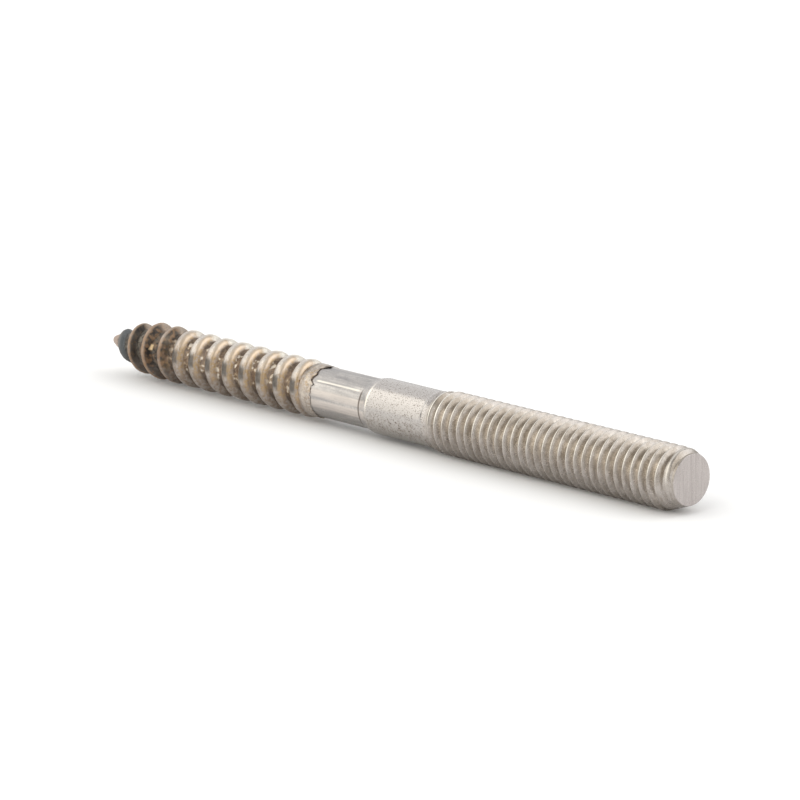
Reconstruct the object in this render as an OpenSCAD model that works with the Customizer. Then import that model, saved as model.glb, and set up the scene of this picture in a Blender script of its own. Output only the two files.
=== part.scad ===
// Hanger bolt: a coarse tapered wood thread at one end and a machine thread at the other.
// Both threads are rolled on one stepped blank, so the bare shoulder and shank show between them.
// Millimetres, +Z up. The bolt lies along X with its machine end at +X and rests on Z = 0.

/* [Length] */
// Overall length from the nose to the flat end
bolt_len = 124.5; // [116:0.5:160]
// Wood thread with its point and collar, from the nose to the bare shank
wood_len = 49.5; // [40:0.5:54]
// Machine thread with its run-in, from the shoulder to the flat end
machine_len = 51; // [30:0.5:54]

/* [Machine thread] */
// Diameter over the crests
machine_d = 9.525; // [9:0.025:11]
// Distance from one crest to the next
machine_pitch = 1.5875; // [1.25:0.0125:2]
// Length over which the thread rises out of the shoulder
machine_run_in = 4.8; // [2:0.1:8]
// Diameter of the flat end
end_d = 7.5; // [6:0.1:8]
// Length of the tapered lead behind the flat end
end_lead = 2.8; // [1:0.1:4]
// How far the cropped end sits off the axis
end_offset = 0.35; // [0:0.05:0.6]
// Turn of the thread about the axis, in degrees
machine_clock = 68; // [0:1:359]

/* [Blank] */
// How far the shoulder is larger than the mean of crest and root
shoulder_allowance = 0.02; // [0:0.01:0.2]
// Diameter of the bare shank beside the wood thread
shank_d = 7.75; // [7.2:0.05:8]
// Length of the cone from the shank up to the shoulder
step_len = 1.9; // [0.8:0.1:4]
// Bare shank between the collar and that cone
shank_len = 10.7; // [6:0.1:14]

/* [Wood thread] */
// Diameter over the crests
wood_d = 8.75; // [8.4:0.05:9.6]
// Diameter at the foot of the grooves
wood_root_d = 6.4; // [5.8:0.05:7]
// Distance from one crest to the next
wood_pitch = 3.866; // [3:0.002:5]
// Flat along the top of the ridge
wood_crest_w = 0.8; // [0.3:0.05:1.2]
// How far the top falls across that flat, towards the point
wood_crest_fall = 0.05; // [0:0.01:0.2]
// Width of the ridge below its rounded corners
wood_corner_w = 1.75; // [1.25:0.05:1.8]
// Width of the ridge at its foot
wood_base_w = 2.6; // [1.85:0.05:2.8]
// Length over which the ridge sinks into the collar
wood_run_out = 3.2; // [1:0.1:6]
// Turn of the thread about the axis, in degrees
wood_clock = 169; // [0:1:359]
// Diameter of the collar at the end of the thread
collar_d = 8.2; // [8:0.05:8.6]
// Length of that collar with its edge
collar_len = 2.6; // [1.6:0.1:4]

/* [Point] */
// Length over which the crests taper to the nose
point_len = 11.5; // [7:0.5:14]
// Length over which the core tapers to the nose
core_len = 13; // [9:0.5:16]
// Diameter of the core at the nose
nose_d = 1.1; // [0.9:0.05:1.6]
// Diameter at the nose that the crest line sets out from
crest_nose_d = 0.8; // [0.6:0.05:1]
// Length of the rounding of the nose
nose_round = 0.5; // [0.3:0.05:0.6]
// Length of the bare nose before the first turn
nose_len = 1; // [0.95:0.05:3]
// Length over which the first turn rises from the nose
nose_rise = 0.7; // [0.5:0.1:3]

/* [Quality] */
// Flats in one turn of the machine thread
machine_steps = 24; // [16:4:32]
// Flats in one turn of the wood thread
wood_steps = 28; // [16:4:32]

/* [Hidden] */
$fn = 96;
steel = [0.72, 0.71, 0.69];
// A hidden end lies this far inside what covers it, and the cover closes on it over a short cone
skin = 0.03;
tuck = 0.2;
tuck_len = 0.5;

// Unified thread form: rounded root, flat crest of an eighth of the pitch
machine_r = machine_d / 2;
machine_depth = 0.6134 * machine_pitch;
machine_crest_half = 1 / 16;
machine_root_half = 1 / 12;
machine_profile = [
    [machine_root_half - 0.5, 0],
    [-machine_crest_half, 1],
    [machine_crest_half, 1],
    [0.5 - machine_root_half, 0]
];

// Height of the axis when a flat of the machine thread lies on the floor
axis_height = machine_r * cos(180 / machine_steps);

// Rolling moves metal from the grooves to the crests, so the blank lies between the two
shoulder_r = machine_r - machine_depth / 2 + shoulder_allowance;
shank_r = shank_d / 2;
machine_z = bolt_len - machine_len;
shoulder_z = wood_len + shank_len + step_len;

wood_r = wood_d / 2;
wood_root_r = wood_root_d / 2;
corner_height = 0.73;
crest_fall = wood_crest_fall / (wood_r - wood_root_r);
wood_profile = [
    [-wood_base_w / 2 / wood_pitch, 0],
    [-wood_corner_w / 2 / wood_pitch, corner_height - crest_fall],
    [-wood_crest_w / 2 / wood_pitch, 1 - crest_fall],
    [wood_crest_w / 2 / wood_pitch, 1],
    [wood_corner_w / 2 / wood_pitch, corner_height],
    [wood_base_w / 2 / wood_pitch, 0]
];

nose_r = nose_d / 2;
nose_blunt = 0.6;

// The collar rises out of the grooves over a cone and falls to the shank over a short edge
collar_r = collar_d / 2;
collar_z = wood_len - collar_len;
collar_lead = 1.4;
collar_edge = 0.2;

// The ridge dies out a little way inside the collar
ridge_bury = 0.6;
ridge_end = collar_z + ridge_bury;

// One crest of each thread at angle 0 lies at these places along the axis
wood_crest_z = wood_pitch * wood_clock / 360;
machine_crest_z = bolt_len - machine_pitch * machine_clock / 360;

function clamp01(v) = max(0, min(1, v));

// Bow-shaped taper from the nose to a full radius
function taper_r(full_r, start_r, z, length) =
    full_r - (full_r - start_r) * pow(1 - clamp01(z / length), 2);

// Radius of the tapered core and of the crest line above it, at a place along the axis
function core_r(z) = taper_r(wood_root_r, nose_r, z, core_len);
function crest_r(z) = max(core_r(z), taper_r(wood_r, crest_nose_d / 2, z, point_len));

// Wood thread: rises from the nose, sinks into the collar at its other end
function wood_radius(z, height) =
    let (rise = clamp01((z - nose_len) / nose_rise))
    let (out = clamp01((ridge_end - z) / wood_run_out))
    let (thread = core_r(z) + height * rise * (crest_r(z) - core_r(z)))
    let (hidden = shank_r - skin)
    hidden + out * (thread - hidden) - skin * (1 - rise);

// Machine thread: rises out of the shoulder, crest upwards and groove downwards
function machine_radius(z, height) =
    let (rise = clamp01((z - machine_z) / machine_run_in))
    let (thread = machine_r - (1 - height) * machine_depth)
    let (hidden = shoulder_r - skin)
    hidden + rise * (thread - hidden);

// Place along the axis of a helix after so many turns
function machine_place(turn) = machine_crest_z + machine_pitch * turn;

// The wood thread's first turns are drawn together inside the nose
nose_turn = (nose_len - 0.15 - wood_crest_z) / wood_pitch;
nose_turns = 1.2;
nose_lead = (nose_len - nose_round - 0.3) / nose_turns;
function wood_place(turn) =
    turn > nose_turn
    ? wood_crest_z + wood_pitch * turn
    : wood_crest_z + wood_pitch * nose_turn + nose_lead * (turn - nose_turn);

// A threaded length with its core: the ridge profile is carried round the axis as one long
// ribbon, and the upper edge of each turn is the lower edge of the next.
// profile: [place across the pitch, height], place and radius: functions of the turn and of z
module helical_body(profile, steps, from_turn, to_turn, place, radius) {
    rows = len(profile);
    start = (floor(from_turn * steps) + 0.5) / steps;
    last = ceil((to_turn - start) * steps);
    low = place(start + 0.5);
    high = place(start + last / steps - 0.5);
    ribbon = [
        for (q = [0 : last], p = profile)
        let (turn = start + q / steps)
        let (z = place(turn + p[0]))
        let (r = radius(z, p[1]))
        [r * cos(360 * turn), r * sin(360 * turn), z]
    ];
    floor_centre = len(ribbon);
    top_centre = floor_centre + 1;
    edge = rows - 1;
    across = [
        for (q = [0 : last - 1], j = [0 : edge - 1])
        let (a = q * rows + j)
        let (b = a + rows)
        each [[a, a + 1, b + 1], [a, b + 1, b]]
    ];
    between = [
        for (q = [0 : last - 1 - steps])
        let (a = q * rows + edge)
        let (d = (q + steps) * rows)
        each [[a, d, d + rows], [a, d + rows, a + rows]]
    ];
    floor_cap = concat(
        [for (q = [0 : steps - 1]) [q * rows, (q + 1) * rows, floor_centre]],
        [for (j = [0 : edge - 1]) [j + 1, j, floor_centre]],
        [[steps * rows, edge, floor_centre]]
    );
    top_row = (last - steps) * rows + edge;
    top_cap = concat(
        [for (q = [0 : steps - 1]) [top_row + (q + 1) * rows, top_row + q * rows, top_centre]],
        [for (j = [0 : edge - 1]) [last * rows + j, last * rows + j + 1, top_centre]],
        [[top_row, last * rows, top_centre]]
    );
    polyhedron(
        points = concat(ribbon, [[0, 0, low], [0, 0, high]]),
        faces = concat(across, between, floor_cap, top_cap),
        convexity = 12
    );
}

// Wood thread with its tapered core, its last turn hidden in the collar and the shank
module wood_thread() {
    helical_body(
        wood_profile,
        wood_steps,
        nose_turn - nose_turns,
        (ridge_end - wood_crest_z) / wood_pitch + 1.6,
        function(turn) wood_place(turn),
        function(z, height) wood_radius(z, height)
    );
}

// Bare rounded nose that the first turn rises from
module nose() {
    rotate_extrude()
        polygon([
            [0, 0],
            [nose_r * nose_blunt, 0],
            [nose_r, nose_round * 0.4],
            [core_r(nose_round), nose_round],
            [core_r(nose_len), nose_len],
            [core_r(nose_len) - tuck, nose_len + tuck_len],
            [0, nose_len + tuck_len]
        ]);
}

// Collar, bare shank, cone and shoulder
module blank() {
    rotate_extrude()
        polygon([
            [0, collar_z - collar_lead],
            [wood_root_r - tuck, collar_z - collar_lead],
            [collar_r, collar_z],
            [collar_r, wood_len - collar_edge],
            [shank_r, wood_len],
            [shank_r, shoulder_z - step_len],
            [shoulder_r, shoulder_z],
            [shoulder_r, machine_z],
            [shoulder_r - tuck, machine_z + tuck_len],
            [0, machine_z + tuck_len]
        ]);
}

// Space that the tapered lead and the flat end leave for the machine thread
module end_form() {
    outer_r = machine_r + end_offset + machine_pitch;
    taper = (machine_r - end_d / 2) / end_lead;
    translate([0, end_offset, 0])
        rotate_extrude()
            polygon([
                [0, machine_z - 3 * machine_pitch],
                [outer_r, machine_z - 3 * machine_pitch],
                [outer_r, bolt_len - (outer_r - end_d / 2) / taper],
                [end_d / 2, bolt_len],
                [0, bolt_len]
            ]);
}

// Machine thread, its first turn hidden in the shoulder and its end cropped
module machine_thread() {
    intersection() {
        helical_body(
            machine_profile,
            machine_steps,
            (machine_z - machine_crest_z) / machine_pitch - 1.6,
            (bolt_len - machine_crest_z) / machine_pitch + 1.6,
            function(turn) machine_place(turn),
            function(z, height) machine_radius(z, height)
        );
        end_form();
    }
}

// The whole bolt, laid along X
module hanger_bolt() {
    color(steel)
        translate([-bolt_len / 2, 0, axis_height])
            rotate([90, 0, 90])
                union() {
                    blank();
                    nose();
                    wood_thread();
                    machine_thread();
                }
}

hanger_bolt();
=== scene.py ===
import math

import bpy
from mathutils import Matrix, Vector, noise


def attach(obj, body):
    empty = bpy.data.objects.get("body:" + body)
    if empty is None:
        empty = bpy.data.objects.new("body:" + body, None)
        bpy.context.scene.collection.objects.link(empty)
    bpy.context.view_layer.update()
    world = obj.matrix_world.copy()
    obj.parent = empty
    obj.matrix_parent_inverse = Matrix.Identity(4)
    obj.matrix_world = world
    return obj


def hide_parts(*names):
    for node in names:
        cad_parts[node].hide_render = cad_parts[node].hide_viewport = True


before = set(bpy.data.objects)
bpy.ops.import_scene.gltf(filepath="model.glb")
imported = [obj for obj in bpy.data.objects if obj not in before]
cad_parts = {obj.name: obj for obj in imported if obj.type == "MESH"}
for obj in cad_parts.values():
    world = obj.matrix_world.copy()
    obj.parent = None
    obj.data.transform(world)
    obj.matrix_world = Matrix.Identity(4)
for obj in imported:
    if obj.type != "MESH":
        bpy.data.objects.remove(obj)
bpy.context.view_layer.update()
print("frame loaded:", ", ".join(sorted(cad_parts)))

mm = 0.001
fullTurn = 2 * math.pi
weldGap = 0.0015 * mm
ringReach = 0.0005 * mm
cutGap = 1e-8

# Places run from the nose to the flat end and radii from the axis, in millimetres
bolt = {
    "length": 124.5,
    "axisHeight": 4.7217,
    "ridgeEnd": 48.2,
    "collarEnd": 49.5,
    "machineStart": 73.5,
    "smoothAngle": math.radians(42),
}


def clamp01(value):
    return max(0.0, min(1.0, value))


def ease(low, high, value):
    share = clamp01((value - low) / (high - low))
    return share * share * (3 - 2 * share)


def alongX(place):
    return (place - bolt["length"] / 2) * mm


def angleGap(angle, centre):
    return (angle - centre + math.pi) % fullTurn - math.pi


def roughness(place, radius, angle, grain, seed):
    point = Vector((place, radius * math.cos(angle), radius * math.sin(angle)))
    return noise.noise(point / grain + Vector((seed, 0, 0)))


def twoGrains(place, radius, angle, grains):
    coarse, fine, share = grains
    return roughness(place, radius, angle, *coarse) + share * roughness(place, radius, angle, *fine)


def bell(angle, centre, width):
    return math.exp(-(angleGap(angle, centre) / width) ** 2)


# Editing by hand: one vertex is drawn out into a line, and the line is turned round the axis
def openPiece(piece):
    bpy.ops.object.select_all(action="DESELECT")
    piece.select_set(True)
    bpy.context.view_layer.objects.active = piece
    bpy.ops.object.mode_set(mode="EDIT")
    bpy.ops.mesh.select_mode(type="VERT")
    bpy.ops.mesh.select_all(action="SELECT")


def closePiece():
    bpy.ops.object.mode_set(mode="OBJECT")


def drawLine(name, line):
    bpy.ops.object.select_all(action="DESELECT")
    bpy.ops.mesh.primitive_plane_add(size=mm, location=(0, 0, bolt["axisHeight"] * mm))
    piece = bpy.context.object
    piece.name = name
    openPiece(piece)
    bpy.ops.mesh.merge(type="CENTER")
    place, radius = line[0]
    bpy.ops.transform.translate(value=(alongX(place), 0, radius * mm))
    for nextPlace, nextRadius in line[1:]:
        step = ((nextPlace - place) * mm, 0, (nextRadius - radius) * mm)
        bpy.ops.mesh.extrude_vertices_move(TRANSFORM_OT_translate={"value": step})
        place, radius = nextPlace, nextRadius
    closePiece()
    return piece


def turnLine(piece, steps, turns=1, pitch=0.0):
    bpy.ops.object.modifier_add(type="SCREW")
    turning = piece.modifiers[-1]
    turning.axis = "X"
    turning.angle = fullTurn
    turning.screw_offset = pitch * mm
    turning.iterations = turns
    turning.steps = turning.render_steps = steps
    bpy.ops.object.modifier_apply(modifier=turning.name)
    openPiece(piece)
    bpy.ops.mesh.remove_doubles(threshold=weldGap)
    bpy.ops.mesh.normals_make_consistent(inside=False)
    closePiece()


def moveSkin(piece, moveTo):
    for vertex in piece.data.vertices:
        x, y, z = vertex.co
        angle = math.atan2(z, y)
        place, radius = moveTo(x / mm + bolt["length"] / 2, math.hypot(y, z) / mm, angle)
        vertex.co = (alongX(place), radius * mm * math.cos(angle), radius * mm * math.sin(angle))


def trim(piece, place, side, fill=False):
    openPiece(piece)
    bpy.ops.mesh.bisect(
        plane_co=(alongX(place), 0, 0), plane_no=(1, 0, 0), use_fill=fill, threshold=cutGap,
        clear_inner=side == "nose", clear_outer=side == "end",
    )
    closePiece()


def pickRings(piece, places):
    openPiece(piece)
    bpy.ops.mesh.select_all(action="DESELECT")
    closePiece()
    for vertex in piece.data.vertices:
        vertex.select = any(abs(vertex.co.x - alongX(place)) < ringReach for place in places)
    bpy.ops.object.mode_set(mode="EDIT")


# Wood thread: rounded rolled ridges that taper to the nose and sink into a collar
woodThread = {
    "crestRadius": 4.375,
    "rootRadius": 3.2,
    "pitch": 3.866,
    "crestPlace": 1.8149,
    "crestLength": 11.5,
    "crestStart": 0.4,
    "coreLength": 13.0,
    "coreStart": 0.55,
    "noseLength": 1.0,
    "noseRise": 0.7,
    "trimNose": 0.95,
    "runOut": 1.5,
    "fill": (45.8, 47.4),
    "trimEnd": 47.85,
    "collarRadius": 4.08,
    "steps": 104,
    "turns": 14,
    "ridge": [
        (-0.5, 0.0), (-0.42, 0.01), (-0.37, 0.06), (-0.335, 0.2), (-0.305, 0.4), (-0.27, 0.6), (-0.23, 0.76),
        (-0.18, 0.87), (-0.12, 0.945), (-0.055, 0.985), (0.015, 1.0), (0.072, 0.985), (0.12, 0.945),
        (0.162, 0.87), (0.2, 0.74), (0.229, 0.58), (0.254, 0.4), (0.279, 0.22), (0.31, 0.08), (0.357, 0.015),
        (0.5, 0.0),
    ],
    "startTurn": -0.75,
    "sharpTip": (8.0, 21.0, 3.4),
    "wobble": 0.04,
    "wobbleGrain": (1.4, 21.0),
    "rough": 0.034,
    "roughGrain": (0.5, 13.0),
    "residue": 0.18,
    "residueGrains": ((0.55, 3.0), (0.26, 9.0), 0.6),
}


def ridgeLine(plan, ridge, root, depth):
    crestAtTop = plan["crestPlace"] + plan["startTurn"] * plan["pitch"]
    return [(crestAtTop + across * plan["pitch"], root + height * depth) for across, height in ridge]


def taper(full, start, place, length):
    return full - (full - start) * (1 - clamp01(place / length)) ** 2


def woodSkin(place, radius, angle):
    plan = woodThread
    height = clamp01((radius - plan["rootRadius"]) / (plan["crestRadius"] - plan["rootRadius"]))
    blunt, full, power = plan["sharpTip"]
    height **= 1 + power * (1 - ease(blunt, full, place))
    core = taper(plan["rootRadius"], plan["coreStart"], place, plan["coreLength"])
    crest = max(core, taper(plan["crestRadius"], plan["crestStart"], place, plan["crestLength"]))
    rise = clamp01((place - plan["noseLength"]) / plan["noseRise"])
    out = clamp01((bolt["ridgeEnd"] - place) / plan["runOut"])
    collar = plan["collarRadius"]
    thread = core + height * rise * (crest - core)
    groove = (1 - height) ** 2 * rise
    thread += plan["residue"] * groove * max(0.0, twoGrains(place, radius, angle, plan["residueGrains"]))
    thread += plan["wobble"] * rise * roughness(place, radius, angle, *plan["wobbleGrain"])
    thread += plan["rough"] * rise * roughness(place, radius, angle, *plan["roughGrain"])
    thread = max(thread, core + (collar - core) * ease(*plan["fill"], place))
    return place, collar + out * (thread - collar) if thread > collar else thread


def makeWoodThread():
    plan = woodThread
    span = plan["crestRadius"] - plan["rootRadius"]
    piece = drawLine("woodThread", ridgeLine(plan, plan["ridge"], plan["rootRadius"], span))
    turnLine(piece, plan["steps"], plan["turns"], plan["pitch"])
    moveSkin(piece, woodSkin)
    trim(piece, plan["trimNose"], "nose")
    trim(piece, plan["trimEnd"], "end")
    return piece


# Nose: the last ring of the wood thread is drawn out and closed to a blunt tip
noseForm = {
    "rings": [(0.72, 0.91), (0.5, 0.89), (0.32, 0.87), (0.17, 0.83), (0.06, 0.73), (0.0, 0.55)],
}


def drawNose(piece):
    place = woodThread["trimNose"]
    pickRings(piece, [place])
    axisPoint = (0, 0, bolt["axisHeight"] * mm)
    for nextPlace, squeeze in noseForm["rings"]:
        bpy.ops.mesh.extrude_edges_move(
            TRANSFORM_OT_translate={"value": ((nextPlace - place) * mm, 0, 0)})
        bpy.ops.transform.resize(value=(1, squeeze, squeeze), center_override=axisPoint)
        place = nextPlace
    bpy.ops.mesh.merge(type="CENTER")
    closePiece()


# Machine thread: rises out of the shoulder, and its end is cropped to a tapered lead
machineThread = {
    "crestRadius": 4.7625,
    "depth": 0.9738,
    "pitch": 1.5875,
    "crestPlace": 124.2001,
    "runIn": 3.4,
    "shoulderRadius": 4.2956,
    "steps": 72,
    "turns": 35,
    "trimStart": 73.52,
    "trimPastEnd": 0.6,
    "flatFacing": 0.99,
    "halfRidge": [
        (0.0, 1.0), (0.04, 1.0), (0.062, 0.985), (0.087, 0.93), (0.16, 0.725), (0.235, 0.513), (0.31, 0.301),
        (0.38, 0.11), (0.415, 0.045), (0.455, 0.01), (0.5, 0.0),
    ],
    "startTurn": -33.75,
    "wobble": 0.012,
    "wobbleGrain": (0.9, 5.0),
}
endForm = {
    "radius": 3.75,
    "lead": 2.8,
    "offset": 0.35,
    "steps": 160,
    "edge": 0.05,
    "edgeSlope": 0.1,
    "clearRadius": 1.5,
    "clearLength": 3,
}


def machineSkin(place, radius, angle):
    plan = machineThread
    rise = clamp01((place - bolt["machineStart"]) / plan["runIn"])
    radius += plan["wobble"] * roughness(place, radius, angle, *plan["wobbleGrain"])
    return place, plan["shoulderRadius"] + rise * (radius - plan["shoulderRadius"])


def makeMachineThread():
    plan = machineThread
    root = plan["crestRadius"] - plan["depth"]
    ridge = [(-across, height) for across, height in reversed(plan["halfRidge"])] + plan["halfRidge"][1:]
    piece = drawLine("machineThread", ridgeLine(plan, ridge, root, plan["depth"]))
    turnLine(piece, plan["steps"], plan["turns"], plan["pitch"])
    moveSkin(piece, machineSkin)
    trim(piece, plan["trimStart"], "nose", fill=True)
    trim(piece, bolt["length"] + plan["trimPastEnd"], "end", fill=True)
    return piece


def cropEnd(piece):
    plan = endForm
    wide = machineThread["crestRadius"] + plan["clearRadius"]
    back = bolt["machineStart"] - plan["clearLength"]
    slope = (machineThread["crestRadius"] - plan["radius"]) / plan["lead"]
    line = [
        (back, 0), (back, wide),
        (bolt["length"] - (wide - plan["radius"]) / slope, wide),
        (bolt["length"] - plan["edge"], plan["radius"] + plan["edgeSlope"] * plan["edge"]),
        (bolt["length"], plan["radius"] - plan["edge"]), (bolt["length"], 0),
    ]
    cutter = drawLine("endCutter", line)
    turnLine(cutter, plan["steps"])
    cutter.location.z += plan["offset"] * mm
    bpy.ops.object.select_all(action="DESELECT")
    piece.select_set(True)
    bpy.context.view_layer.objects.active = piece
    bpy.ops.object.modifier_add(type="BOOLEAN")
    crop = piece.modifiers[-1]
    crop.operation = "INTERSECT"
    crop.solver = "EXACT"
    crop.object = cutter
    bpy.ops.object.modifier_apply(modifier=crop.name)
    bpy.data.objects.remove(cutter)


def openStart(piece):
    # the filled face at the shoulder comes out again, so that the rings can be bridged
    openPiece(piece)
    bpy.ops.mesh.select_all(action="DESELECT")
    bpy.ops.mesh.select_mode(type="FACE")
    closePiece()
    for face in piece.data.polygons:
        flat = abs(face.center.x - alongX(machineThread["trimStart"])) < ringReach
        face.select = flat and abs(face.normal.x) > machineThread["flatFacing"]
    bpy.ops.object.mode_set(mode="EDIT")
    bpy.ops.mesh.delete(type="ONLY_FACE")
    closePiece()


# Blank: collar with its torn lip, bare shank with a rolled lap, cone and shoulder
blankForm = {
    "line": [
        (47.93, 4.08), (48.15, 4.09), (48.4, 4.09), (48.6, 4.06), (48.72, 4.03), (48.85, 4.045),
        (49.05, 4.075), (49.25, 4.07), (49.4, 4.03), (49.48, 3.99), (49.53, 3.95), (49.48, 3.91),
        (49.57, 3.876), (49.8, 3.875), (50.4, 3.875), (51.2, 3.875), (52.7, 3.875), (54.3, 3.875),
        (55.9, 3.875), (57.5, 3.875), (58.9, 3.875), (59.6, 3.875), (60.12, 3.88), (60.35, 3.91),
        (61.8, 4.23), (61.95, 4.262), (62.1, 4.284), (62.3, 4.2945), (62.6, 4.2956), (64.5, 4.2956),
        (66.5, 4.2956), (68.5, 4.2956), (70.5, 4.2956), (72.5, 4.2956), (73.44, 4.2956),
    ],
    "steps": 240,
    "lipStart": 48.9,
    "lipEnd": 49.55,
    "lipInner": 3.9,
    "lipRadius": 4,
    "flaps": [
        (1.58, 0.15, 0.75, 0.15), (1.95, 0.13, -0.4, 0.1), (2.2, 0.08, 0.1, 0.1), (2.45, 0.09, -0.35, 0.12),
        (2.66, 0.06, 0.45, 0.03), (3.2, 0.5, 0.22, 0.0),
    ],
    "ragged": 0.32,
    "raggedGrains": ((0.5, 2.0), (0.2, 7.0), 0.6),
    "thinTop": (1.25, 0.35, 0.1),
    "thinStart": (47.9, 48.6),
    "crumbs": 0.07,
    "crumbGrains": ((0.45, 6.0), (0.22, 8.0), 0.5),
    "crumbStart": (47.95, 48.4),
    "crumbInner": (3.92, 4.0),
    "lapAngle": math.radians(142.5),
    "lapWidth": math.radians(17),
    "lapDrop": math.radians(2.5),
    "lapHeight": 0.115,
    "lapStart": (49.9, 50.7),
    "lapEnd": (59.3, 60.1),
    "drawnDent": 0.01,
    "drawnFrom": 50.3,
    "drawnTo": 59.5,
    "drawnStretch": 0.08,
    "drawnGrain": (1.1, 4.0),
}


def lapRise(place, angle):
    # metal folded over along the shank: it swells towards the lap and drops behind it
    plan = blankForm
    gap = angleGap(angle, plan["lapAngle"])
    swell = clamp01(1 + gap / plan["lapWidth"]) ** 2 if gap <= 0 else clamp01(1 - gap / plan["lapDrop"])
    return plan["lapHeight"] * swell * ease(*plan["lapStart"], place) * (1 - ease(*plan["lapEnd"], place))


def blankSkin(place, radius, angle):
    plan = blankForm
    if place < plan["lipEnd"] and radius > plan["lipInner"]:
        reach = plan["ragged"] * twoGrains(0, plan["lipRadius"], angle, plan["raggedGrains"])
        lift = 0.0
        for centre, width, length, height in plan["flaps"]:
            near = bell(angle, centre, width)
            reach += length * near
            lift += height * near
        centre, width, sink = plan["thinTop"]
        share = ease(plan["lipStart"], bolt["collarEnd"], place)
        crumbs = plan["crumbs"] * twoGrains(place, radius, angle, plan["crumbGrains"])
        radius += crumbs * ease(*plan["crumbStart"], place) * ease(*plan["crumbInner"], radius)
        radius -= sink * bell(angle, centre, width) * ease(*plan["thinStart"], place)
        return place + share * reach, radius + share * lift
    radius += lapRise(place, angle)
    if plan["drawnFrom"] < place < plan["drawnTo"]:
        drawn = roughness(place * plan["drawnStretch"], radius, angle, *plan["drawnGrain"])
        radius += plan["drawnDent"] * drawn
    return place, radius


def makeBlank():
    piece = drawLine("blank", blankForm["line"])
    turnLine(piece, blankForm["steps"])
    moveSkin(piece, blankSkin)
    return piece


def joinBolt(parts):
    bpy.ops.object.select_all(action="DESELECT")
    for part in parts:
        part.select_set(True)
    bpy.context.view_layer.objects.active = parts[0]
    bpy.ops.object.join()
    piece = bpy.context.object
    piece.name = "hangerBolt"
    blankStart, blankEnd = blankForm["line"][0][0], blankForm["line"][-1][0]
    for rings in ([woodThread["trimEnd"], blankStart], [blankEnd, machineThread["trimStart"]]):
        pickRings(piece, rings)
        bpy.ops.mesh.bridge_edge_loops()
        closePiece()
    openPiece(piece)
    bpy.ops.mesh.remove_doubles(threshold=weldGap)
    bpy.ops.mesh.normals_make_consistent(inside=False)
    closePiece()
    bpy.ops.object.transform_apply(location=True, rotation=True, scale=True)
    bpy.ops.object.shade_smooth_by_angle(angle=bolt["smoothAngle"])
    return piece


wood = makeWoodThread()
drawNose(wood)
print("wood thread:", len(wood.data.polygons), "faces")
machine = makeMachineThread()
cropEnd(machine)
openStart(machine)
print("machine thread:", len(machine.data.polygons), "faces")
blank = makeBlank()
print("blank:", len(blank.data.polygons), "faces")
hangerBolt = joinBolt([wood, blank, machine])
print("bolt joined:", len(hangerBolt.data.polygons), "faces")


# Shader sums: an expression on values adds its Math nodes
class Wire:
    def __init__(self, tree, socket):
        self.tree = tree
        self.socket = socket

    def node(self, kind, settings, sockets, out=0):
        made = self.tree.nodes.new(kind)
        for key, value in settings.items():
            setattr(made, key, value)
        for key, value in sockets.items():
            if isinstance(value, Wire):
                self.tree.links.new(value.socket, made.inputs[key])
            else:
                made.inputs[key].default_value = value
        return Wire(self.tree, made.outputs[out] if len(made.outputs) else None)

    def sum(self, operation, *values):
        return self.node("ShaderNodeMath", {"operation": operation}, dict(enumerate(values)))

    def __add__(self, other):
        return self.sum("ADD", self, other)

    def __radd__(self, other):
        return self.sum("ADD", other, self)

    def __sub__(self, other):
        return self.sum("SUBTRACT", self, other)

    def __rsub__(self, other):
        return self.sum("SUBTRACT", other, self)

    def __mul__(self, other):
        return self.sum("MULTIPLY", self, other)

    def __rmul__(self, other):
        return self.sum("MULTIPLY", other, self)

    def __truediv__(self, other):
        return self.sum("DIVIDE", self, other)

    def __abs__(self):
        return self.sum("ABSOLUTE", self)

    def orMore(self, other):
        return self.sum("MAXIMUM", self, other)

    def step(self, low, high):
        return self.node("ShaderNodeMapRange", {"interpolation_type": "SMOOTHSTEP"},
                         {"Value": self, "From Min": low, "From Max": high})


def tone(*levels):
    # a colour picked on screen, as the linear values that a shader takes
    shares = [level / 255 for level in levels]
    linear = [share / 12.92 if share <= 0.04 else ((share + 0.055) / 1.055) ** 2.4 for share in shares]
    return (*linear, 1.0)


def blend(share, first, second):
    # in a Mix node set to colours these inputs are the factor and the two colours, and output 2 is the result
    return share.node("ShaderNodeMix", {"data_type": "RGBA", "clamp_factor": True},
                      {0: share, 6: first, 7: second}, out=2)


def clearTree(owner):
    owner.use_nodes = True
    owner.node_tree.nodes.clear()
    return owner.node_tree


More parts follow.
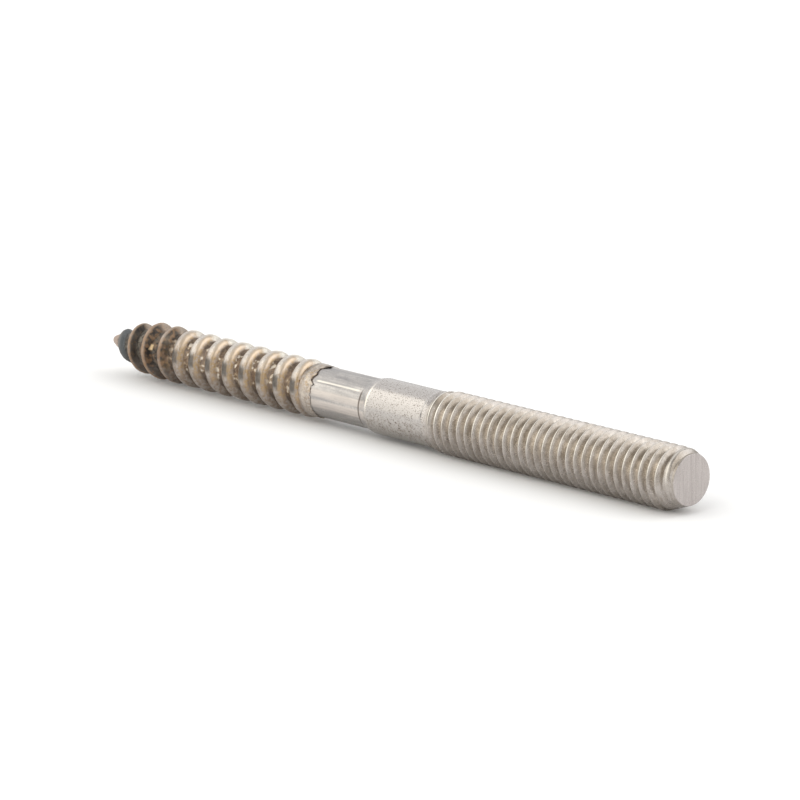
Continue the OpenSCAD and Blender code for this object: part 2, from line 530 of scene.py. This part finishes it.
# Finish of the bolt: rolled steel, with residue in the grooves and a darkened point, and painted highlights,
# reflections and shade
finish = {
    "shank": tone(205, 200, 195),
    "shankGrey": tone(160, 157, 156),
    # painted highlight stripes along the shank
    "shankHighlight": tone(220, 210, 201),
    # painted highlight along the lap, the cone's edge and the ridge tops
    "paintedHighlight": tone(232, 226, 215),
    "shoulder": tone(191, 186, 182),
    "pit": tone(92, 80, 70),
    # painted shade along the underside
    "paintedShade": tone(116, 109, 103),
    "flank": tone(184, 177, 170),
    # painted light in the thread roots, against their shade
    "paintedRootLight": tone(226, 217, 205),
    # flank grime, also laid as painted shade on the upper and lower sides
    "flankDirtAndShade": tone(147, 136, 122),
    # painted shade on the lower side of the machine thread
    "lowerShade": tone(156, 150, 151),
    # painted glint on the machine crests
    "crestGlintTone": tone(242, 237, 228),
    "crest": tone(190, 183, 176),
    # painted highlight on the upper crests
    "crestHighlight": tone(218, 210, 200),
    # painted highlight on the upper flanks of the wood ridges
    "flankHighlight": tone(216, 198, 176),
    "tan": tone(164, 141, 117),
    "residue": tone(160, 142, 123),
    # grime and painted shade on the lower side
    "stainAndShade": tone(124, 110, 99),
    "brown": tone(108, 86, 66),
    "ochre": tone(174, 150, 116),
    "darkBrown": tone(50, 42, 37),
    "rim": tone(152, 117, 84),
    "soot": tone(34, 29, 26),
    "rust": tone(148, 112, 78),
    "flake": tone(228, 200, 156),
    # dark brown of the lip: partly grime, partly painted shade
    "gap": tone(72, 57, 46),
    # painted dark reflection along the wood crests
    "darkReflectionTone": tone(84, 81, 77),
    "blueGrey": tone(104, 108, 110),
    # painted reflection in the cores of the first grooves
    "coreSheen": tone(134, 128, 118),
    "noseTan": tone(172, 154, 142),
    "chip": tone(200, 190, 176),
    "collar": tone(190, 182, 174),
    "endFace": tone(187, 180, 177),
    "endStreak": tone(175, 168, 165),
}


# Noise on the steel: grain in millimetres, detail, roughness, stretch along x, y and z, and seed
specks = {
    "fine": (0.3, 2.0, 0.6, (1, 1, 1), 0.0),
    "grain": (0.18, 1.0, 0.5, (1, 1, 1), 19.0),
    "flakes": (0.8, 1.0, 0.4, (1, 1, 1), 17.0),
    "medium": (0.55, 3.0, 0.6, (1, 1, 1), 7.0),
    "broad": (2.6, 3.0, 0.55, (1, 1, 1), 3.0),
    "drawn": (0.3, 3.0, 0.65, (0.06, 1, 1), 5.0),
    "longDrawn": (0.9, 2.0, 0.5, (0.05, 1, 1), 11.0),
    "rolled": (0.34, 2.0, 0.5, (1, 0.14, 0.14), 23.0),
    "sawn": (0.5, 3.0, 0.6, (1, 1, 0.08), 13.0),
}
# Soft edges of the finish along the bolt: from and to
edges = {
    "noseEnd": (1.8, 3.2),
    "blueStart": (2.4, 3.2),
    "blueEnd": (4.6, 5.4),
    "rustStart": (8.5, 10.5),
    "sheenFade": (8.5, 11.0),
    "sootFade": (11.5, 21.0),
    "darkReflectionStart": (12.0, 17.0),
    "grooveFade": (45.6, 46.8),
    "woodEnd": (47.4, 48.2),
    "collarBody": (48.8, 49.0),
    "lipStart": (48.9, 49.1),
    "flapStart": (49.4, 49.8),
    "tornEnd": (49.95, 50.0),
    "lapStart": (50.2, 50.8),
    "flapEnd": (50.9, 51.0),
    "lapEnd": (59.4, 60.0),
    "shoulderStart": (61.3, 62.2),
    "machineStart": (74.2, 75.5),
    "rootStart": (74.5, 77.5),
    "runInEnd": (76.5, 80.0),
    "topFade": (84.0, 104.0),
    "rootEnd": (121.0, 122.5),
    "endFace": (124.43, 124.47),
}
# Narrow lines: place along the bolt, half width in full and half width where it has faded out
crossLines = {
    "flake": (12.35, 0.16, 0.34),
    "coneFoot": (60.35, 0.06, 0.3),
    "coneEdge": (62.15, 0.1, 0.3),
}
# Windows round the axis, in radians: centre, half width in full and half width where it has faded out
windows = {
    "flap": (blankForm["flaps"][0][0], 0.2, 0.3),
    "tornTop": (1.95, 0.6, 0.8),
    "collarOchre": (2.2, 0.6, 1.0),
    "upperSheen": (2.95, 0.08, 0.22),
    "lowerSheen": (3.38, 0.1, 0.24),
    "paintedHighlight": (2.465, 0.015, 0.06),
    "coneFoot": (3.2, 0.6, 0.9),
    "coneEdge": (2.6, 0.3, 0.75),
    "lowerSide": (3.9, 0.4, 1.1),
    "underside": (4.4, 0.4, 1.15),
    "topHighlight": (1.25, 0.35, 0.8),
    "topShade": (2.0, 0.15, 0.4),
    "crestGlint": (2.2, 0.5, 1.0),
    "ridgeTop": (1.2, 0.15, 0.5),
    "crestSheen": (1.65, 0.6, 1.0),
    "upperGroove": (1.8, 0.25, 0.6),
    "notchShadow": (1.9, 0.2, 0.45),
    "flankHighlight": (2.05, 0.3, 0.6),
    "foot": (2.5, 0.7, 1.25),
    "chips": (2.7, 0.6, 0.9),
    "flake": (2.75, 0.1, 0.18),
    "darkReflection": (2.9, 0.12, 0.36),
    "stainAndShade": (3.9, 0.5, 0.95),
    "lowerGroove": (4.1, 0.5, 1.0),
    "lowerPoint": (4.1, 0.2, 0.7),
}
# Stripes along a ridge, in shares of its pitch from the crest: rise and fall, or centre and two half widths
woodStripes = {
    "ridge": ((-0.38, -0.31), (0.25, 0.31)),
    "foot": ((0.08, 0.2), (0.27, 0.33)),
    "flankHighlight": ((0.06, 0.13), (0.21, 0.27)),
}
woodLines = {
    "rim": (0.02, 0.03, 0.12),
    "stainAndShade": (-0.05, 0.06, 0.24),
    "paintedSheen": (-0.12, 0.14, 0.26),
    "darkReflection": (-0.01, 0.1, 0.24),
    "creviceShade": (-0.34, 0.012, 0.05),
}
woodFlanks = {
    "notchShadow": (0.22, 0.3),
    "coreBefore": (-0.4, -0.3),
    "coreBehind": (0.24, 0.34),
}
machineLines = {
    "crest": (0.0, 0.05, 0.075),
    "root": (0.0, 0.12, 0.36),
    "gap": (-0.02, 0.06, 0.2),
}
# Radii at the collar, and how far the gap under its lip reaches
collarSkin = {
    "outer": (3.885, 3.9),
    "lip": (3.97, 4.02),
    "underLipShadeAndDirt": (0.05, 0.5),
}
bumpForm = {
    "strength": 0.4,
    "depth": 0.03,
}


def within(value, rise, fall):
    return value.step(*rise) * (1 - value.step(*fall))


def closeTo(value, centre, inner, outer):
    return 1 - abs(value - centre).step(inner, outer)


# A point of the bolt as wires: its place along the axis, its angle round it, its radius and the noise there
class Surface:
    def __init__(self, tree):
        self.start = start = Wire(tree, None)
        local = start.node("ShaderNodeTexCoord", {}, {}, out="Object")
        self.point = start.node("ShaderNodeVectorMath", {"operation": "SCALE"}, {0: local, "Scale": 1 / mm})
        x, y, z = [start.node("ShaderNodeSeparateXYZ", {}, {0: self.point}, out=axis) for axis in "XYZ"]
        up = z - bolt["axisHeight"]
        self.place = x + bolt["length"] / 2
        self.angle = start.sum("ARCTAN2", up, y)
        self.radius = start.sum("SQRT", y * y + up * up)
        self.noise = {name: self.makeNoise(*form) for name, form in specks.items()}

    def makeNoise(self, grain, detail, rough, stretch, seed):
        shift = (seed, seed * 0.7, seed * 0.3)
        moved = self.start.node("ShaderNodeVectorMath", {"operation": "MULTIPLY_ADD"},
                                {0: self.point, 1: stretch, 2: shift})
        return self.start.node("ShaderNodeTexNoise", {}, {
            "Vector": moved, "Scale": 1 / grain, "Detail": detail, "Roughness": rough,
        })

    def past(self, edge):
        return self.place.step(*edges[edge])

    def before(self, edge):
        return 1 - self.past(edge)

    def onLine(self, line):
        return closeTo(self.place, *crossLines[line])

    def offAngle(self, centre):
        return self.start.sum("WRAP", self.angle - centre, math.pi, -math.pi)

    def facing(self, window):
        centre, inner, outer = windows[window]
        return 1 - abs(self.offAngle(centre)).step(inner, outer)

    def phase(self, thread):
        turn = (self.place - thread["crestPlace"]) / thread["pitch"] - self.angle / fullTurn
        return self.start.sum("FRACT", turn + 0.5) - 0.5


def findAreas(surface):
    flap = surface.facing("flap") * surface.before("flapEnd")
    tornEdge = surface.before("tornEnd").orMore(flap) * surface.radius.step(*collarSkin["outer"])
    isCollar = surface.before("collarBody").orMore(tornEdge) * surface.past("woodEnd")
    isWood = surface.before("woodEnd")
    isMachine = surface.past("machineStart")
    isShoulder = surface.past("shoulderStart") * (1 - isMachine)
    return {
        "flap": flap,
        "collar": isCollar,
        "wood": isWood,
        "machine": isMachine,
        "shoulder": isShoulder,
        "shank": (1 - isWood) * (1 - isMachine) * (1 - isShoulder) * (1 - isCollar),
        "endFace": surface.past("endFace"),
    }


# Bare metal: drawn streaks and painted highlight stripes on the shank, fine pits and painted shade on the
# shoulder's lower side, painted highlights on the lap and the cone's edge, crumbs on the collar, and a dark
# lip that is partly grime and partly painted shade
def colourShank(surface):
    grain, medium, longDrawn = [surface.noise[name] for name in ("grain", "medium", "longDrawn")]
    streak = surface.noise["drawn"].step(0.35, 0.68) * 0.5 + longDrawn.step(0.35, 0.65) * 0.5
    colour = blend(streak, finish["shankGrey"], finish["shank"])
    colour = blend(grain.step(0.54, 0.68) * 0.28, colour, finish["pit"])
    colour = blend(medium.step(0.46, 0.64) * 0.38, colour, finish["shankGrey"])
    # painted highlight: lighter stripes at two angles round the shank, mottled by the streaks
    paintedSheen = surface.facing("upperSheen").orMore(surface.facing("lowerSheen"))
    colour = blend(paintedSheen * (0.35 + 0.3 * streak + 0.3 * medium), colour, finish["shankHighlight"])
    # painted highlight along the lap
    paintedHighlight = surface.facing("paintedHighlight") * surface.past("lapStart") * surface.before("lapEnd")
    return blend(paintedHighlight * (0.7 + 0.3 * longDrawn), colour, finish["paintedHighlight"])


def findPits(surface):
    patches = 0.35 + 0.65 * surface.noise["medium"].step(0.38, 0.58)
    return surface.noise["grain"].step(0.54, 0.64) * patches


def colourShoulder(surface):
    # painted shade: mottled darkening and denser pits on the lower side
    below = surface.facing("lowerSide")
    dirtAndShade = surface.noise["medium"].step(0.4, 0.62) * below * 0.4
    colour = blend(dirtAndShade, finish["shoulder"], finish["flankDirtAndShade"])
    return blend(findPits(surface) * (0.6 + 0.3 * below), colour, finish["pit"])


def findLipEnd(surface):
    # the torn lip ends where the flaps that shape it end
    lipEnd = surface.start.sum("ADD", bolt["collarEnd"], 0.0)
    for centre, width, reach, _ in blankForm["flaps"]:
        off = surface.offAngle(centre)
        lipEnd = lipEnd + reach * surface.start.sum("EXPONENT", off * off * (-1 / width ** 2))
    return lipEnd


def findLip(surface, areas):
    # dark lip: partly grime, partly painted shade, strongest where the lip is lifted on the upper side
    lip = (1 - surface.radius.step(*collarSkin["lip"])) * surface.past("lipStart")
    lip = lip * (0.1 + 0.9 * surface.facing("tornTop"))
    return lip.orMore(areas["flap"] * surface.past("flapStart") * (0.6 + 0.3 * surface.noise["medium"]))


def colourCollar(surface, lip):
    fine, grain, medium, flakes = [surface.noise[name] for name in ("fine", "grain", "medium", "flakes")]
    colour = blend(fine.step(0.38, 0.6) * 0.55, finish["collar"], finish["residue"])
    colour = blend(grain.step(0.5, 0.64) * 0.4, colour, finish["brown"])
    colour = blend(medium.step(0.5, 0.62) * surface.facing("collarOchre") * 0.6, colour, finish["ochre"])
    colour = blend(flakes.step(0.52, 0.64) * 0.5, colour, finish["chip"])
    # the dark lip colour is partly grime and partly painted shade
    return blend(lip, colour, finish["gap"])


def colourBare(surface, areas, lip):
    colour = blend(areas["shoulder"], colourShank(surface), colourShoulder(surface))
    # a dark line round part of the cone's foot
    colour = blend(surface.onLine("coneFoot") * surface.facing("coneFoot") * 0.8, colour, finish["pit"])
    # painted highlight along the rounded edge of the cone
    colour = blend(surface.onLine("coneEdge") * surface.facing("coneEdge") * 0.85, colour, finish["paintedHighlight"])
    # partly grime, partly painted shade in the gap under the lip, strongest on the upper side
    underLipShadeAndDirt = 1 - (surface.place - findLipEnd(surface)).step(*collarSkin["underLipShadeAndDirt"])
    underLipShadeAndDirt = underLipShadeAndDirt * (0.12 + 0.88 * surface.facing("tornTop"))
    colour = blend(underLipShadeAndDirt * (1 - areas["shoulder"]) * 0.9, colour, finish["gap"])
    return blend(areas["collar"], colour, colourCollar(surface, lip))


# Machine thread: painted glints on the crest lines, painted light in the roots, tan flanks with fine grime,
# painted highlight streaks along the top, painted shade on the upper flanks and the lower side
def colourMachine(surface):
    rolled, medium, broad = [surface.noise[name] for name in ("rolled", "medium", "broad")]
    phase = surface.phase(machineThread)
    crest = closeTo(phase, *machineLines["crest"])
    root = (1 - closeTo(phase, *machineLines["root"])) * surface.past("rootStart") * surface.before("rootEnd")
    # fine grime on the flanks
    dirtAndShade = rolled.step(0.42, 0.66) * 0.45 + medium.step(0.4, 0.65) * 0.25 + broad.step(0.4, 0.6) * 0.25
    # painted light: paler roots that offset the shade in them
    colour = blend(root, finish["flank"], finish["paintedRootLight"])
    colour = blend(dirtAndShade, colour, finish["flankDirtAndShade"])
    colour = blend(findPits(surface) * 0.25, colour, finish["pit"])
    # painted highlight streaks along the top
    topHighlight = surface.facing("topHighlight") * rolled.step(0.4, 0.62) * 0.6
    colour = blend(topHighlight, colour, finish["shoulder"])
    # painted shade on the upper flanks near the shoulder, sparing the crests
    topShade = surface.facing("topShade") * (0.1 + 0.5 * (1 - closeTo(phase, *machineLines["gap"])))
    colour = blend(topShade * (1 - 0.5 * surface.past("topFade")), colour, finish["flankDirtAndShade"])
    # painted shade: cooler, darker grey on the lower side
    colour = blend(surface.facing("lowerSide") * 0.3, colour, finish["lowerShade"])
    # painted glint on the crest lines, strongest on the upper front and the first turns
    glint = crest * (0.25 + 0.45 * medium + 0.4 * surface.before("runInEnd"))
    glint = glint * (0.15 + 0.8 * surface.facing("crestGlint"))
    return blend(glint, colour, finish["crestGlintTone"]), dirtAndShade, root


# Wood thread: grey crests with grime and painted shade on their lower side, a painted dark reflection along
# them, painted highlights on their upper side, tan feet, painted shadow in the hollows under the ridges and
# where they meet the grooves, residue and chips in the grooves
def findRidges(surface):
    phase = surface.phase(woodThread)
    groove = (1 - within(phase, *woodStripes["ridge"])) * (1 - 0.7 * surface.past("grooveFade"))
    broad = surface.noise["broad"]
    dark = 1 - (surface.place + (broad - 0.5) * 5).step(*edges["sootFade"])
    chips = surface.noise["flakes"].step(0.58, 0.66) * groove * surface.facing("chips")
    core = phase.step(*woodFlanks["coreBehind"]) + (1 - phase.step(*woodFlanks["coreBefore"]))
    # painted reflection: a grey sheen in the cores of the dark grooves near the point
    sheen = core * dark * surface.past("blueEnd") * (1 - 0.5 * surface.past("sheenFade"))
    return {
        "phase": phase,
        "groove": groove,
        "dark": dark,
        "chips": chips * (1 - 0.8 * dark),
        "grime": broad.step(0.35, 0.6),
        # rims, with the top side of the ridges added as painted highlight
        "rim": closeTo(phase, *woodLines["rim"]).orMore(surface.facing("ridgeTop") * 0.6),
        "sheen": sheen * (0.25 + 0.6 * surface.noise["medium"].step(0.42, 0.58)),
    }


def colourRidge(surface, ridges):
    grain, medium, phase = surface.noise["grain"], surface.noise["medium"], ridges["phase"]
    colour = blend(medium.step(0.42, 0.62) * 0.6, finish["crest"], finish["residue"])
    # grime and painted shade on the lower side of the ridges, weaker on the crest
    stainAndShade = surface.facing("stainAndShade") * (0.5 + 0.35 * medium.step(0.3, 0.7))
    stainAndShade = stainAndShade * (0.55 + 0.45 * (1 - closeTo(phase, *woodLines["stainAndShade"])))
    colour = blend(stainAndShade, colour, finish["stainAndShade"])
    # painted highlight: paler, mottled crests on the upper side
    paintedSheen = surface.facing("crestSheen") * closeTo(phase, *woodLines["paintedSheen"])
    colour = blend(paintedSheen * (0.35 + 0.65 * medium.step(0.35, 0.6)), colour, finish["crestHighlight"])
    # painted highlight on the top side of the ridges
    colour = blend(surface.facing("ridgeTop"), colour, finish["paintedHighlight"])
    # painted dark reflection: a dark stripe along the crests at one angle
    darkReflection = surface.facing("darkReflection") * closeTo(phase, *woodLines["darkReflection"]) * surface.past("darkReflectionStart")
    colour = blend(darkReflection * (0.75 + 0.25 * medium), colour, finish["darkReflectionTone"])
    foot = within(phase, *woodStripes["foot"]) * surface.facing("foot")
    footColour = blend(medium.step(0.4, 0.6), finish["tan"], finish["ochre"])
    colour = blend(foot * (0.45 + 0.5 * medium.step(0.36, 0.58)), colour, footColour)
    colour = blend(grain.step(0.54, 0.66) * (0.15 + 0.3 * medium), colour, finish["brown"])
    # painted highlight: bright cream stripe on the upper flanks
    flankHighlight = within(phase, *woodStripes["flankHighlight"]) * surface.facing("flankHighlight")
    colour = blend(flankHighlight * (0.4 + 0.5 * medium), colour, finish["flankHighlight"])
    # painted shadow in the hollow under each ridge on the upper side
    notchShadow = phase.step(*woodFlanks["notchShadow"]) * surface.facing("notchShadow") * 0.55
    return blend(notchShadow, colour, finish["darkBrown"])


def colourGroove(surface):
    fine, medium, flakes = [surface.noise[name] for name in ("fine", "medium", "flakes")]
    colour = blend(medium.step(0.46, 0.66) * 0.6, finish["brown"], finish["residue"])
    colour = blend(flakes.step(0.48, 0.6) * 0.5, colour, finish["ochre"])
    colour = blend(fine.step(0.53, 0.66) * 0.7, colour, finish["darkBrown"])
    shade = (surface.facing("upperGroove") * 0.55).orMore(surface.facing("lowerGroove") * 0.95)
    return blend(shade * (0.55 + 0.35 * medium), colour, finish["darkBrown"])


def colourWood(surface, ridges):
    colour = colourRidge(surface, ridges)
    colour = blend(ridges["groove"] * (0.8 + 0.2 * ridges["grime"]), colour, colourGroove(surface))
    # painted shade: dark lines where the ridges meet the grooves
    creviceShade = closeTo(ridges["phase"], *woodLines["creviceShade"]) * surface.noise["medium"].step(0.4, 0.58)
    colour = blend(creviceShade * 0.6, colour, finish["darkBrown"])
    return blend(ridges["chips"], colour, finish["chip"])


# The point is darkened: brown-black turns with brown rims, a blue-grey first turn and a bare nose
def colourPoint(surface, ridges, colour):
    medium, dark, rim = surface.noise["medium"], ridges["dark"], ridges["rim"]
    sooty = dark.step(0.0, 0.75) * (1 - 0.68 * rim) * (0.88 + 0.12 * ridges["grime"])
    sooty = sooty * (1 - 0.3 * surface.facing("lowerPoint")) * (1 - 0.6 * ridges["chips"])
    soot = blend(medium.step(0.5, 0.7) * 0.4, finish["soot"], finish["brown"])
    rust = surface.noise["flakes"].step(0.44, 0.66) * surface.past("rustStart") * 0.5
    colour = blend(sooty, colour, blend(rust, soot, finish["rust"]))
    flake = surface.onLine("flake") * surface.facing("flake") * (0.7 + 0.3 * surface.noise["fine"])
    colour = blend(flake, colour, finish["flake"])
    # painted reflection in the groove cores
    colour = blend(ridges["sheen"], colour, finish["coreSheen"])
    colour = blend(dark * rim * (0.3 + 0.6 * medium), colour, finish["rim"])
    blued = surface.past("blueStart") * surface.before("blueEnd") * (1 - ridges["groove"] * 0.5)
    colour = blend(blued * (0.5 + 0.6 * medium), colour, finish["blueGrey"])
    nose = 1 - (surface.place + (medium - 0.5) * 2).step(*edges["noseEnd"])
    return blend(nose, colour, finish["noseTan"])


def raiseSkin(surface, areas, groove):
    fine, grain, medium = [surface.noise[name] for name in ("fine", "grain", "medium")]
    height = areas["shank"] * (surface.noise["drawn"] * 0.5 + grain * 0.6 + medium * 0.6)
    height = height + areas["shoulder"] * (fine + grain) * 0.5
    height = height + areas["machine"] * surface.noise["rolled"] * 0.6
    height = height + areas["wood"] * (medium * (0.6 + groove) + fine * 1.2 + grain * 0.6)
    height = height + areas["collar"] * (medium + fine + grain)
    return surface.start.node("ShaderNodeBump", {}, {
        "Strength": bumpForm["strength"], "Distance": bumpForm["depth"] * mm, "Height": height,
    })


def makeSteel():
    material = bpy.data.materials.new("rolledSteel")
    surface = Surface(clearTree(material))
    areas = findAreas(surface)
    medium, isMachine, isEndFace = surface.noise["medium"], areas["machine"], areas["endFace"]
    lip = findLip(surface, areas)
    ridges = findRidges(surface)
    woodColour = colourPoint(surface, ridges, colourWood(surface, ridges))
    machineColour, dirtAndShade, root = colourMachine(surface)

    colour = blend(areas["wood"], colourBare(surface, areas, lip), woodColour)
    colour = blend(isMachine, colour, machineColour)
    # painted shade along the underside of the bare metal and the machine thread
    paintedShade = 0.3 + 0.2 * surface.noise["broad"] - 0.12 * isMachine
    colour = blend(surface.facing("underside") * (1 - areas["wood"]) * paintedShade, colour, finish["paintedShade"])
    faceColour = blend(surface.noise["sawn"].step(0.35, 0.65), finish["endStreak"], finish["endFace"])
    colour = blend(isEndFace, colour, faceColour)

    residue = (ridges["groove"] * (0.5 + 0.5 * ridges["grime"])).orMore(ridges["dark"] * 0.6)
    residue = areas["wood"] * residue * (1 - ridges["chips"]) * (1 - 0.8 * ridges["sheen"])
    residue = residue.orMore(areas["collar"] * (0.3 + 0.7 * lip))
    metal = 1 - residue * 0.8 - isMachine * (dirtAndShade * 0.2 + root * 0.22) * (1 - isEndFace)
    rough = 0.17 + 0.1 * medium + areas["shank"] * 0.15 + isMachine * 0.06
    rough = rough + areas["wood"] * 0.16 + residue * 0.25

    shader = surface.start.node("ShaderNodeBsdfPrincipled", {}, {
        "Base Color": colour, "Metallic": metal, "Roughness": rough,
        "Normal": raiseSkin(surface, areas, ridges["groove"]),
    })
    surface.start.node("ShaderNodeOutputMaterial", {}, {"Surface": shader})
    return material


hangerBolt.data.materials.clear()
hangerBolt.data.materials.append(makeSteel())
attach(hangerBolt, "root")
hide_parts("hanger_bolt")
print("finish laid on")


# Studio: white floor and a bright room, with a large warm card front left and a window behind right
studio = {
    "floorSize": 12.0,
    "floorColour": (0.93, 0.93, 0.93, 1.0),
    "room": 0.5,
    "cardLow": 1.35,
    "cardRise": 0.45,
    "cardTint": (1.0, 0.985, 0.94, 1.0),
    "white": (1.0, 1.0, 1.0, 1.0),
}
# Patches of the surround: how bright each one is
levels = {
    "overhead": 1.0,
    "leftWall": 1.06,
    "leftDark": 0.35,
    "rightDark": 0.7,
    "side": 1.45,
    "window": 2.0,
}
# Their headings with two half widths, in degrees
headings = {
    "card": (246, 57, 60),
    "leftWall": (145, 45, 60),
    "leftDark": (187, 17, 21),
    "rightDark": (-28, 34, 46),
    "side": (-5, 25, 35),
    "window": (45, 28, 38),
}
# Their lowest and highest lift with its softness, in degrees
lifts = {
    "leftWall": (6, 62, 4),
    "side": (10, 45, 4),
    "window": (13, 62, 5),
}
# Soft edges of lift, in radians, where a patch ends, begins or brightens
liftEdges = {
    "card": (1.0, 1.1),
    "cardBright": (0.0, 0.75),
    "leftDark": (0.16, 0.25),
    "rightDark": (0.3, 0.6),
    "overhead": (1.05, 1.25),
}


def makeFloor():
    bpy.ops.object.select_all(action="DESELECT")
    bpy.ops.mesh.primitive_plane_add(size=studio["floorSize"], location=(0, 0, 0))
    floor = bpy.context.object
    floor.name = "floor"
    material = bpy.data.materials.new("floorPaper")
    start = Wire(clearTree(material), None)
    paper = start.node("ShaderNodeBsdfDiffuse", {}, {"Color": studio["floorColour"]})
    start.node("ShaderNodeOutputMaterial", {}, {"Surface": paper})
    floor.data.materials.append(material)


def makeSurround():
    world = bpy.data.worlds.new("studioSurround")
    bpy.context.scene.world = world
    start = Wire(clearTree(world), None)
    direction = start.node("ShaderNodeTexCoord", {}, {}, out="Generated")
    x, y, z = [start.node("ShaderNodeSeparateXYZ", {}, {0: direction}, out=axis) for axis in "XYZ"]
    heading = start.sum("ARCTAN2", y, x)
    lift = start.sum("ARCSINE", z)

    def towards(name):
        centre, inner, outer = [math.radians(value) for value in headings[name]]
        gap = abs(start.sum("WRAP", heading - centre, math.pi, -math.pi))
        return 1 - gap.step(inner, outer)

    def between(name):
        low, high, soft = [math.radians(value) for value in lifts[name]]
        return lift.step(low - soft, low + soft) * (1 - lift.step(high - soft, high + soft))

    def lay(glow, share, level):
        return glow + share * (level - glow)

    card = towards("card") * (1 - lift.step(*liftEdges["card"]))
    cardLevel = studio["cardLow"] + studio["cardRise"] * lift.step(*liftEdges["cardBright"])
    glow = start.sum("ADD", studio["room"], 0.0)
    glow = lay(glow, lift.step(*liftEdges["overhead"]), levels["overhead"])
    glow = lay(glow, towards("leftWall") * between("leftWall"), levels["leftWall"])
    glow = lay(glow, card, cardLevel)
    for name in ("leftDark", "rightDark"):
        glow = lay(glow, towards(name) * (1 - lift.step(*liftEdges[name])), levels[name])
    for name in ("side", "window"):
        glow = lay(glow, towards(name) * between(name), levels[name])
    tint = blend(card, studio["white"], studio["cardTint"])
    light = start.node("ShaderNodeBackground", {}, {"Color": tint, "Strength": glow})
    start.node("ShaderNodeOutputWorld", {}, {"Surface": light})


view = {
    "place": (0.503249, -0.478157, 0.173984),
    "aim": (0.000947, 0.002001, 0.005544),
    "lens": 215.32,
    "sensor": 36.0,
    "clip": (0.01, 50.0),
}


def makeCamera():
    bpy.ops.object.camera_add(location=view["place"])
    camera = bpy.context.object
    camera.name = "photoView"
    gaze = Vector(view["aim"]) - Vector(view["place"])
    camera.rotation_euler = gaze.to_track_quat("-Z", "Y").to_euler()
    camera.data.lens = view["lens"]
    camera.data.sensor_width = view["sensor"]
    camera.data.clip_start, camera.data.clip_end = view["clip"]
    bpy.context.scene.camera = camera


makeFloor()
makeSurround()
makeCamera()
bpy.context.scene.view_settings.view_transform = "Standard"
print("studio set")
